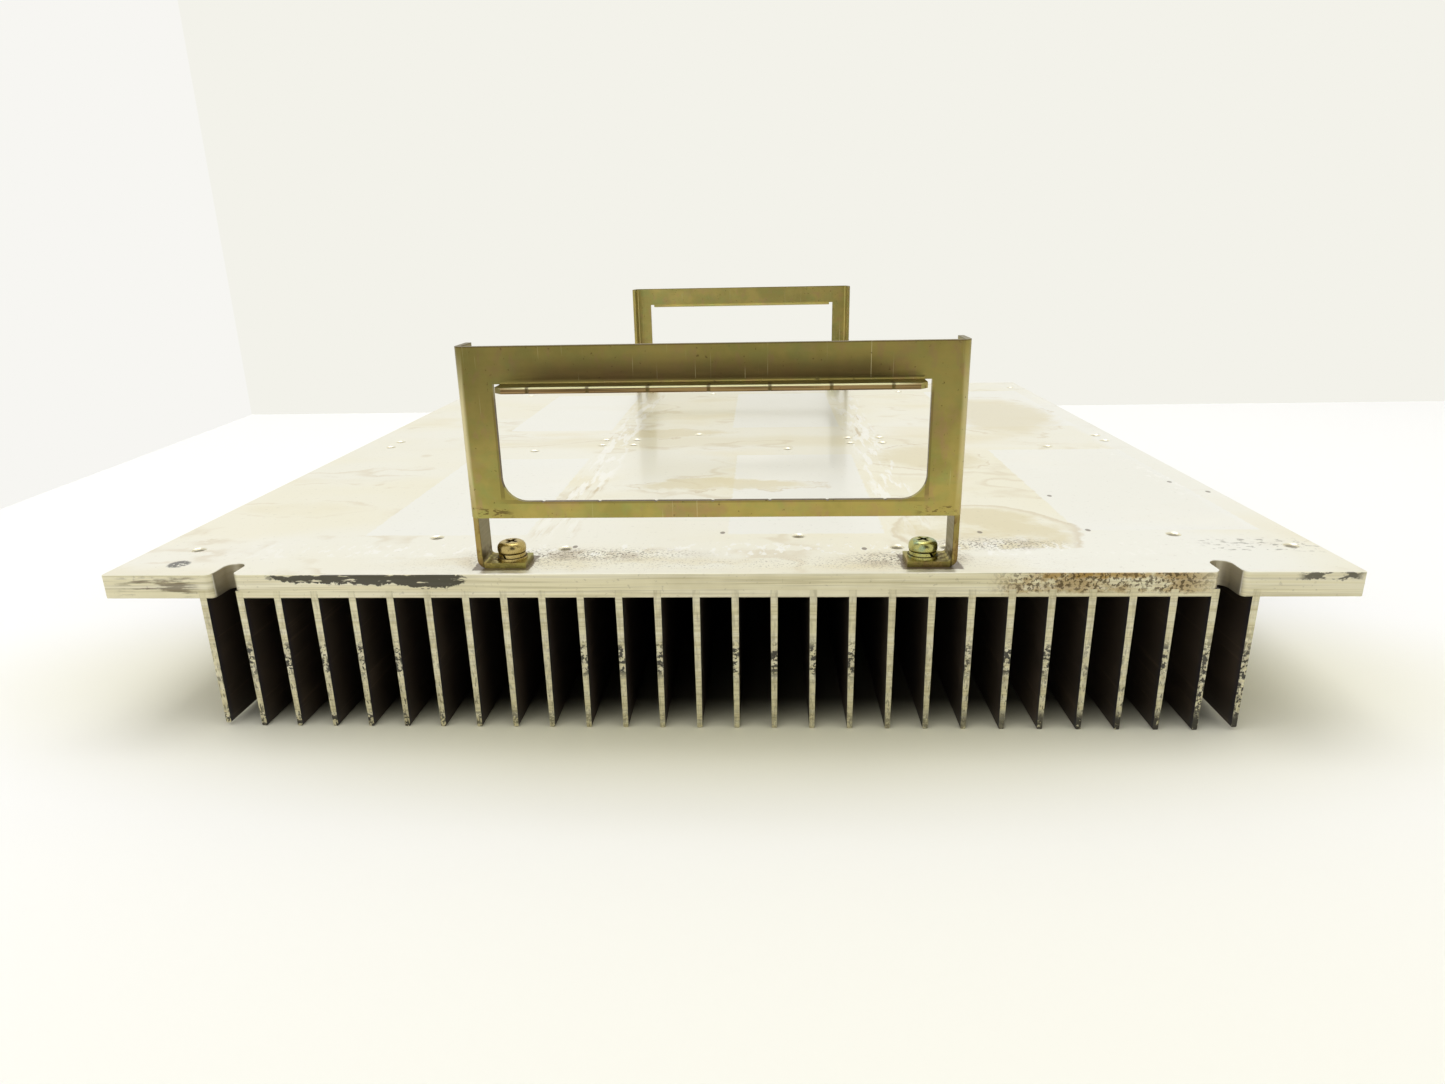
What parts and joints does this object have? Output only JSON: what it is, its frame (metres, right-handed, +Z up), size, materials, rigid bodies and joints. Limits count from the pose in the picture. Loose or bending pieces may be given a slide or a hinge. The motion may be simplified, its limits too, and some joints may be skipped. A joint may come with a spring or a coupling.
{
  "type": "amplifier heat sink",
  "caption": "Bare finned heat-sink chassis of a modular power amplifier: grooved plate with pressed-in fins, tapped module holes and a sheet-metal carrying handle at each end.",
  "frame": {"origin": "under the middle of the base plate, level with the fin tips it stands on", "axes": "+Z up out of the module face, X across the fins, +Y along the fins from the front edge to the rear edge"},
  "size_m": [0.338, 0.358, 0.1063],
  "materials": {
    "milled_aluminium": "milled and grease-stained",
    "black_fins": "black anodised with bare cut ends",
    "zinc_sheet": "yellow-chromated zinc plate",
    "zinc_fasteners": "yellow-chromated zinc plate"
  },
  "bodies": {
    "root": {"base_plate": "milled_aluminium", "fin_01": "black_fins", "fin_02": "black_fins", "fin_03": "black_fins", "fin_04": "black_fins", "fin_05": "black_fins", "fin_06": "black_fins", "fin_07": "black_fins", "fin_08": "black_fins", "fin_09": "black_fins", "fin_10": "black_fins", "fin_11": "black_fins", "fin_12": "black_fins", "fin_13": "black_fins", "fin_14": "black_fins", "fin_15": "black_fins", "fin_16": "black_fins", "fin_17": "black_fins", "fin_18": "black_fins", "fin_19": "black_fins", "fin_20": "black_fins", "fin_21": "black_fins", "fin_22": "black_fins", "fin_23": "black_fins", "fin_24": "black_fins", "fin_25": "black_fins", "fin_26": "black_fins", "fin_27": "black_fins", "fin_28": "black_fins", "front_handle": "zinc_sheet", "rear_handle": "zinc_sheet", "front_left_flat_washer": "zinc_fasteners", "front_left_spring_washer": "zinc_fasteners", "front_left_screw": "zinc_fasteners", "front_right_flat_washer": "zinc_fasteners", "front_right_spring_washer": "zinc_fasteners", "front_right_screw": "zinc_fasteners", "rear_left_flat_washer": "zinc_fasteners", "rear_left_spring_washer": "zinc_fasteners", "rear_left_screw": "zinc_fasteners", "rear_right_flat_washer": "zinc_fasteners", "rear_right_spring_washer": "zinc_fasteners", "rear_right_screw": "zinc_fasteners"}
  },
  "joints": []
}
